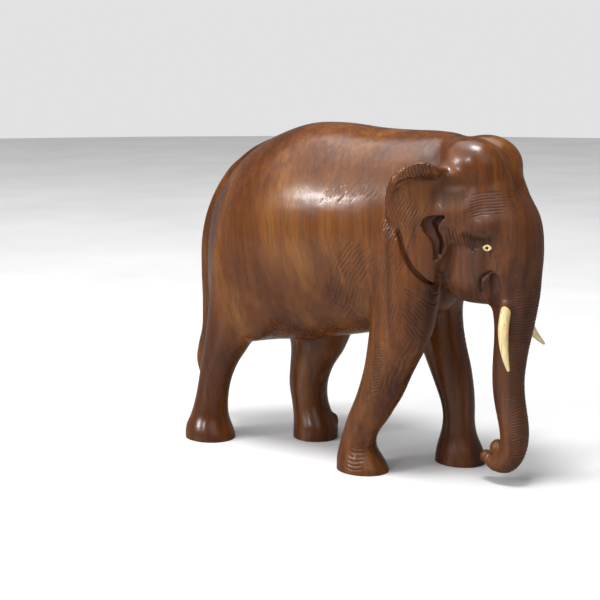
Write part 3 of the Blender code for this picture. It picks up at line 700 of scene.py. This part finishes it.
def carved_block(collection):
    """The elephant's body, carved from one block, with its engraving."""
    masses = [loft("barrel", BARREL, collection, axis=FORWARDS),
              loft("head", HEAD, collection, axis=DOWNWARDS, power=HEAD_POWER),
              loft("trunk", TRUNK, collection)]
    masses += [loft(name, stations, collection, axis=UPWARDS) for name, stations in LEGS.items()]
    masses += [ellipsoid("brisket", *BRISKET, collection), ellipsoid("jaw", *JAW, collection)]
    for name, mass in (("dome", DOME), ("ear_root", EAR_ROOT), ("temple", TEMPLE), ("brow", BROW),
                       ("haunch", HAUNCH), ("shoulder", SHOULDER)):
        masses += both_sides(name, *mass, collection)
    block = merge("block", masses, BLOCK_VOXEL, BLOCK_ROUNDS, collection)

    details = [block, loft("tail", TAIL, collection), ellipsoid("heel", *HEEL, collection),
               ellipsoid("upper_lobe", *UPPER_LOBE, collection),
               ellipsoid("lower_lobe", *LOWER_LOBE, collection)]
    details.append(loft("cheek", CHEEK, collection, axis=DOWNWARDS, power=CHEEK_POWER))
    details += ear(-1, collection) + ear(1, collection)
    for name, detail in (("ear_hinge", EAR_HINGE), ("tusk_sheath", TUSK_SHEATH), ("lip", LIP)):
        details += both_sides(name, *detail, collection)
    body = merge("rough_body", details, DETAIL_VOXEL, DETAIL_ROUNDS, collection)
    cut_pockets(body, collection)
    body = merge("carved_body", [body], DETAIL_VOXEL, POCKET_ROUNDS, collection)
    refine(body)

    skin = Skin(body)
    press_hollows(skin)
    paint_pocket_shade(skin)
    for path, width, depth in GROOVES.values():
        groove(skin, path, width, depth)
    groove(skin, CREASE, CREASE_WIDTH, CREASE_DEPTH, flat=False, taper=CREASE_TAPER, painted_shade_level=CREASE_PAINTED_SHADE)
    skin.engrave()
    for seed, patch in enumerate(PATCHES.values()):
        hatch(skin, seed, *patch)
    trunk_rings(skin)
    skin.engrave()
    # The painted shade is kept on the mesh, under the name carved, for the wood's colour and roughness.
    carved = body.data.attributes.new("carved", "FLOAT", "POINT")
    carved.data.foreach_set("value", skin.painted_shade.astype(np.float32))
    saw_soles(body)
    thin_out(body, BODY_TRIANGLES)
    body.data.transform(Matrix.Translation((CENTRE_SHIFT * MM, 0, 0)))
    body.data.shade_smooth()
    body.data.set_sharp_from_angle(angle=math.radians(SHARP_ANGLE))
    return body


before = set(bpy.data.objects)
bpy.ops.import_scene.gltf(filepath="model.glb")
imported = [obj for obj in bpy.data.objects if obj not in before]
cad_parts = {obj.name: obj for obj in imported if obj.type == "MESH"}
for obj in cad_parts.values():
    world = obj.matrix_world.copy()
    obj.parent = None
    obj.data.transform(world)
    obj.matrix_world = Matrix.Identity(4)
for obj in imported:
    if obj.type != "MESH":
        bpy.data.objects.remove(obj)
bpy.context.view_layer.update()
pieces = bpy.data.collections.new("carved_elephant")
bpy.context.scene.collection.children.link(pieces)


# ---------------------------------------------------------------- materials
def new_material(name):
    """A node material with its Principled shader and a short way to add nodes to it."""
    material = bpy.data.materials.new(name)
    material.use_nodes = True
    tree = material.node_tree

    def add(kind, inputs=None, **settings):
        node = tree.nodes.new(kind)
        for key, value in settings.items():
            setattr(node, key, value)
        for key, value in (inputs or {}).items():
            if isinstance(value, bpy.types.NodeSocket):
                tree.links.new(value, node.inputs[key])
            else:
                node.inputs[key].default_value = value
        return node

    return material, tree.nodes["Principled BSDF"], add


def connect(material, output, socket):
    """Link an output to a shader's socket."""
    material.node_tree.links.new(output, socket)


def ramp(add, source, stops):
    """A colour ramp over a value."""
    node = add("ShaderNodeValToRGB", {"Fac": source})
    elements = node.color_ramp.elements
    while len(elements) > 1:
        elements.remove(elements[0])
    elements[0].position = stops[0][0]
    elements[0].color = (*stops[0][1], 1)
    for place, colour in stops[1:]:
        elements.new(place).color = (*colour, 1)
    return node.outputs["Color"]


def blend_colours(add, kind, factor, first, second):
    """Mix two colours with a blend type."""
    node = add("ShaderNodeMix", {0: factor, 6: first, 7: second}, data_type="RGBA", blend_type=kind,
               clamp_result=False)
    return node.outputs[2]


def maths(add, operation, first, second=0.0):
    """One sum on two values."""
    return add("ShaderNodeMath", {0: first, 1: second}, operation=operation).outputs[0]


def noise(add, place, scale, detail=3.0, roughness=0.55, stretch=None):
    """Noise, stretched if three scales are given."""
    if stretch:
        place = add("ShaderNodeMapping", {"Vector": place, "Scale": stretch}).outputs["Vector"]
    return add("ShaderNodeTexNoise", {"Vector": place, "Scale": scale, "Detail": detail,
                                      "Roughness": roughness}).outputs["Fac"]


def map_range(add, value, limits, results=(0.0, 1.0)):
    """A value carried from one pair of limits to another, and clamped."""
    return add("ShaderNodeMapRange", {"Value": value, "From Min": limits[0], "From Max": limits[1],
                                      "To Min": results[0], "To Max": results[1]}).outputs["Result"]


def grey(value):
    """A grey colour."""
    return (value, value, value)


def wood_material():
    """Polished red-brown hardwood with its grain upright, and painted shade in the carved lines."""
    material, shader, add = new_material("carved_hardwood")
    place = add("ShaderNodeTexCoord").outputs["Object"]
    lean = add("ShaderNodeMapping", {"Vector": place, "Rotation": (0.06, 0.10, 0.3)}).outputs["Vector"]
    swirl = add("ShaderNodeTexNoise", {"Vector": lean, "Scale": 13.0, "Detail": 2.0}).outputs["Color"]
    centred = add("ShaderNodeVectorMath", {0: swirl, 1: (0.5, 0.5, 0.5)}, operation="SUBTRACT").outputs[0]
    pushed = add("ShaderNodeVectorMath", {0: centred, "Scale": 0.014}, operation="SCALE").outputs[0]
    grain = add("ShaderNodeVectorMath", {0: lean, 1: pushed}, operation="ADD").outputs[0]

    bands = noise(add, grain, 1.0, 3.0, 0.5, (62, 62, 3.2))
    streaks = noise(add, grain, 1.0, 3.0, 0.6, (360, 360, 7))
    fibres = noise(add, grain, 1.0, 2.0, 0.5, (1500, 1500, 60))
    clouds = noise(add, place, 15.0, 1.5)
    split = add("ShaderNodeSeparateXYZ", {"Vector": place})
    along, height = split.outputs["X"], split.outputs["Z"]
    low = map_range(add, height, (0.0, 0.085), (1.0, 0.0))
    carved = add("ShaderNodeAttribute", attribute_name="carved").outputs["Fac"]

    colour = ramp(add, bands, [(0.28, (0.068, 0.018, 0.003)), (0.45, (0.105, 0.030, 0.005)),
                               (0.58, (0.146, 0.046, 0.007)), (0.74, (0.205, 0.076, 0.012))])
    streak = ramp(add, streaks, [(0.34, grey(0.72)), (0.50, grey(0.97)), (0.68, grey(1.14))])
    colour = blend_colours(add, "MULTIPLY", 1.0, colour, streak)
    fibre = ramp(add, fibres, [(0.36, grey(0.80)), (0.55, grey(1.05))])
    colour = blend_colours(add, "MULTIPLY", 0.8, colour, fibre)
    cloud = ramp(add, clouds, [(0.36, (0.78, 0.70, 0.66)), (0.62, (1.10, 1.10, 1.06))])
    colour = blend_colours(add, "MULTIPLY", 0.7, colour, cloud)
    dark_low = maths(add, "MULTIPLY", low, 0.55)
    colour = blend_colours(add, "MULTIPLY", dark_low, colour, (0.55, 0.50, 0.58, 1.0))
    # Painted shade: the carved lines, pockets and hollows are darkened.
    painted_shade_amount = maths(add, "MULTIPLY", carved, 0.8)
    colour = blend_colours(add, "MULTIPLY", painted_shade_amount, colour, (0.30, 0.26, 0.26, 1.0))
    connect(material, colour, shader.inputs["Base Color"])

    # The face and the trunk, below the domes, are less polished than the rest.
    forward = map_range(add, along, (0.052, 0.072))
    under_dome = map_range(add, height, (0.160, 0.150))
    matte = maths(add, "MULTIPLY", forward, under_dome)
    rough = map_range(add, streaks, (0.3, 0.7), (0.30, 0.23))
    rough = maths(add, "ADD", rough, maths(add, "MULTIPLY", matte, 0.2))
    rough = maths(add, "ADD", rough, maths(add, "MULTIPLY", carved, 0.25))
    connect(material, rough, shader.inputs["Roughness"])
    shader.inputs["Coat Weight"].default_value = 0.2
    shader.inputs["Coat Roughness"].default_value = 0.16
    shader.inputs["Coat IOR"].default_value = 1.5
    shader.inputs["Specular IOR Level"].default_value = 0.38

    facets = noise(add, place, 95.0, 1.0)
    relief = maths(add, "ADD", maths(add, "MULTIPLY", fibres, 0.10), maths(add, "MULTIPLY", facets, 0.9))
    bump = add("ShaderNodeBump", {"Strength": 0.35, "Distance": 0.0006, "Height": relief})
    connect(material, bump.outputs["Normal"], shader.inputs["Normal"])
    connect(material, bump.outputs["Normal"], shader.inputs["Coat Normal"])
    return material


def bone_material():
    """Cream bone with long fine yellow-brown lines."""
    material, shader, add = new_material("polished_bone")
    place = add("ShaderNodeTexCoord").outputs["Object"]
    lines = noise(add, place, 1.0, 3.0, 0.6, (900, 900, 26))
    clouds = noise(add, place, 160.0, 2.0)
    colour = ramp(add, lines, [(0.34, (0.42, 0.27, 0.09)), (0.46, (0.64, 0.49, 0.24)),
                               (0.62, (0.72, 0.60, 0.35))])
    cloud = ramp(add, clouds, [(0.35, (0.90, 0.86, 0.76)), (0.65, (1.06, 1.05, 1.02))])
    colour = blend_colours(add, "MULTIPLY", 0.8, colour, cloud)
    connect(material, colour, shader.inputs["Base Color"])
    connect(material, map_range(add, lines, (0.0, 1.0), (0.42, 0.26)), shader.inputs["Roughness"])
    shader.inputs["Subsurface Weight"].default_value = 0.12
    shader.inputs["Subsurface Scale"].default_value = 0.002
    shader.inputs["Coat Weight"].default_value = 0.2
    shader.inputs["Coat Roughness"].default_value = 0.15
    bump = add("ShaderNodeBump", {"Strength": 0.2, "Distance": 0.0002, "Height": lines})
    connect(material, bump.outputs["Normal"], shader.inputs["Normal"])
    return material


def pupil_material():
    """Nearly black wood, polished."""
    material, shader, add = new_material("dark_pin")
    place = add("ShaderNodeTexCoord").outputs["Object"]
    mottle = noise(add, place, 1500.0, 2.0)
    colour = ramp(add, mottle, [(0.35, (0.010, 0.006, 0.004)), (0.65, (0.040, 0.022, 0.012))])
    connect(material, colour, shader.inputs["Base Color"])
    connect(material, map_range(add, mottle, (0.0, 1.0), (0.2, 0.4)), shader.inputs["Roughness"])
    return material


def floor_material():
    """A plain pale tabletop, which shows up only faintly in the polish of what stands on it."""
    material, shader, add = new_material("pale_tabletop")
    place = add("ShaderNodeTexCoord").outputs["Object"]
    clouds = noise(add, place, 7.0, 4.0)
    colour = ramp(add, clouds, [(0.35, grey(0.74)), (0.65, grey(0.80))])
    mirrored_ray = add("ShaderNodeLightPath").outputs["Is Glossy Ray"]
    colour = blend_colours(add, "MIX", mirrored_ray, colour, (0.20, 0.19, 0.18, 1.0))
    connect(material, colour, shader.inputs["Base Color"])
    shader.inputs["Roughness"].default_value = 0.45
    return material


# ---------------------------------------------------------------- the tusks and the eyes
def finish_piece(obj, material, node):
    """Give a piece its material, hang it on the root body and hide the CAD node that it stands in for."""
    obj.data.materials.clear()
    obj.data.materials.append(material)
    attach(obj, "root")
    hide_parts(node)


def tusk(name, stations):
    """A round tapering tusk."""
    obj = loft(name, stations, pieces, sides=40, steps=12)
    obj.data.transform(Matrix.Translation((CENTRE_SHIFT * MM, 0, 0)))
    obj.data.shade_smooth()
    return obj


def eye_place(side, proud, depth):
    """The matrix that sets an inlay in the side of the head."""
    yaw = math.radians(EYE_YAW)
    outwards = Vector((math.sin(yaw), side * math.cos(yaw), 0.0))
    along = Vector((outwards.y, -outwards.x, 0.0)) * side
    up = outwards.cross(along)
    eye = Vector((EYE_CENTRE[0] + CENTRE_SHIFT, -side * EYE_CENTRE[1], EYE_CENTRE[2]))
    turn = Matrix((along, up, outwards)).transposed().to_4x4()
    return Matrix.Translation((eye + outwards * (proud - depth / 2)) * MM) @ turn


def inlay_ring(bm, length, height, z, point=1.0):
    """A ring of vertices round an oval; a point above 1 draws its two ends out."""
    ring = []
    for k in range(INLAY_SEGMENTS):
        angle = 2 * math.pi * k / INLAY_SEGMENTS
        rise = math.copysign(abs(math.sin(angle)) ** point, math.sin(angle))
        ring.append(bm.verts.new((math.cos(angle) * length / 2 * MM, rise * height / 2 * MM, z * MM)))
    return ring


def domed_inlay(name, length, height, depth, crown, point, side, inner=0.0):
    """A shallow domed inlay; `inner` leaves a round hole through its middle."""
    top = depth / 2
    levels = [(1.0, -top), (1.0, top - crown), (0.985, top - 0.6 * crown), (0.93, top - 0.25 * crown),
              (0.82, top - 0.08 * crown), (0.62, top)]
    bm = bmesh.new()
    rings = [inlay_ring(bm, length * share, height * share, z, point) for share, z in levels]
    if inner:
        rings += [inlay_ring(bm, inner, inner, z) for z in (top - 0.05, -top)]
        rings.append(rings[0])
    for lower, upper in zip(rings, rings[1:]):
        for k in range(INLAY_SEGMENTS):
            bm.faces.new((lower[k - 1], lower[k], upper[k], upper[k - 1]))
    if not inner:
        bm.faces.new(rings[0])
        bm.faces.new(rings[-1])
    obj = mesh_object(name, bm, pieces)
    obj.matrix_world = eye_place(side, EYE_PROUD, depth)
    obj.data.shade_smooth()
    return obj


wood = wood_material()
bone = bone_material()
dark = pupil_material()

finish_piece(carved_block(pieces), wood, "wood_body")
finish_piece(tusk("right_tusk", TUSK_RIGHT), bone, "tusk_right")
finish_piece(tusk("left_tusk", TUSK_LEFT), bone, "tusk_left")
for side, name in ((-1, "right"), (1, "left")):
    eye = domed_inlay(name + "_eye", EYE_LENGTH, EYE_HEIGHT, EYE_DEPTH, EYE_CROWN, EYE_POINT, side,
                      inner=PUPIL_HOLE)
    finish_piece(eye, bone, "eye_" + name)
    pin = domed_inlay(name + "_pupil", PUPIL_DIAMETER, PUPIL_DIAMETER, PUPIL_DEPTH, PUPIL_CROWN, 1.0, side)
    finish_piece(pin, dark, "pupil_" + name)


# ---------------------------------------------------------------- floor, light and camera
# A soft box: azimuth from +X towards +Y and elevation in degrees, distance, width and height in
# metres, and power in watts. All of them face LIT_PLACE.
SOFT_BOXES = {
    "window": (-120, 22, 2.2, 0.46, 0.24, 18),
    "second_window": (-94, 27, 2.2, 0.16, 0.16, 6),
    "ceiling": (-80, 74, 1.8, 0.5, 0.5, 24),
    "fill": (-40, 40, 2.6, 1.8, 1.8, 9),
    "overhead": (-160, 80, 2.0, 1.6, 1.6, 16),
}
LIT_PLACE = (0, 0, 0.1)
SKY_STRENGTH = 1.45
SKY_ANGLE = 70              # degrees; how soft the sky's shadows are
SKY_TILT = (24, -18)        # degrees about x and y
BACKDROP_COLOUR = (0.76, 0.76, 0.77, 1)
ROOM_COLOUR = (0.50, 0.50, 0.52, 1)
ROOM_STRENGTH = 0.35
FLOOR_RADIUS = 3.0
FLOOR_DROP = 0.0002         # keeps the floor clear of the soles
CAMERA_PLACE = (0.4354, -0.6277, 0.2230)
CAMERA_TILT = 79.923        # degrees from looking straight down
CAMERA_TURN = 37.0          # degrees from looking along +Y
CAMERA_LENS = 84.0
CAMERA_SENSOR = 36.0


def place_in_scene(name, data):
    """A new object in the scene itself."""
    obj = bpy.data.objects.new(name, data)
    bpy.context.scene.collection.objects.link(obj)
    return obj


def soft_box(name, azimuth, elevation, distance, width, height, power):
    """A rectangular light that faces the elephant."""
    light = bpy.data.lights.new(name, "AREA")
    light.shape = "RECTANGLE"
    light.size = width
    light.size_y = height
    light.energy = power
    obj = place_in_scene(name, light)
    a = math.radians(azimuth)
    e = math.radians(elevation)
    back = Vector((math.cos(a) * math.cos(e), math.sin(a) * math.cos(e), math.sin(e)))
    obj.location = Vector(LIT_PLACE) + back * distance
    obj.rotation_euler = back.to_track_quat("Z", "Y").to_euler()


def light_sky():
    """A very soft light from above."""
    sky = bpy.data.lights.new("sky", "SUN")
    sky.energy = SKY_STRENGTH
    sky.angle = math.radians(SKY_ANGLE)
    obj = place_in_scene("sky", sky)
    obj.rotation_euler = (math.radians(SKY_TILT[0]), math.radians(SKY_TILT[1]), 0.0)


def build_room():
    """A pale backdrop behind the elephant, and a dimmer room that lights it."""
    world = bpy.data.worlds.new("studio")
    world.use_nodes = True
    nodes, links = world.node_tree.nodes, world.node_tree.links
    backdrop = nodes["Background"]
    backdrop.inputs["Color"].default_value = BACKDROP_COLOUR
    backdrop.inputs["Strength"].default_value = 1.0
    room = nodes.new("ShaderNodeBackground")
    room.inputs["Color"].default_value = ROOM_COLOUR
    room.inputs["Strength"].default_value = ROOM_STRENGTH
    path_kind = nodes.new("ShaderNodeLightPath")
    chosen = nodes.new("ShaderNodeMixShader")
    links.new(path_kind.outputs["Is Camera Ray"], chosen.inputs["Fac"])
    links.new(room.outputs["Background"], chosen.inputs[1])
    links.new(backdrop.outputs["Background"], chosen.inputs[2])
    links.new(chosen.outputs["Shader"], nodes["World Output"].inputs["Surface"])
    bpy.context.scene.world = world


def lay_floor():
    """A round tabletop under the soles."""
    bm = bmesh.new()
    bmesh.ops.create_circle(bm, cap_ends=True, segments=96, radius=FLOOR_RADIUS)
    floor = mesh_object("floor", bm, bpy.context.scene.collection)
    floor.location.z = -FLOOR_DROP
    floor.data.materials.append(floor_material())


def set_up_camera():
    """The scene's camera, from the front right and a little above."""
    lens = bpy.data.cameras.new("camera")
    lens.lens = CAMERA_LENS
    lens.sensor_width = CAMERA_SENSOR
    camera = place_in_scene("camera", lens)
    camera.location = CAMERA_PLACE
    camera.rotation_euler = (math.radians(CAMERA_TILT), 0.0, math.radians(CAMERA_TURN))
    bpy.context.scene.camera = camera


for name, numbers in SOFT_BOXES.items():
    soft_box(name, *numbers)
light_sky()
build_room()
lay_floor()
set_up_camera()
bpy.context.scene.view_settings.view_transform = "Standard"
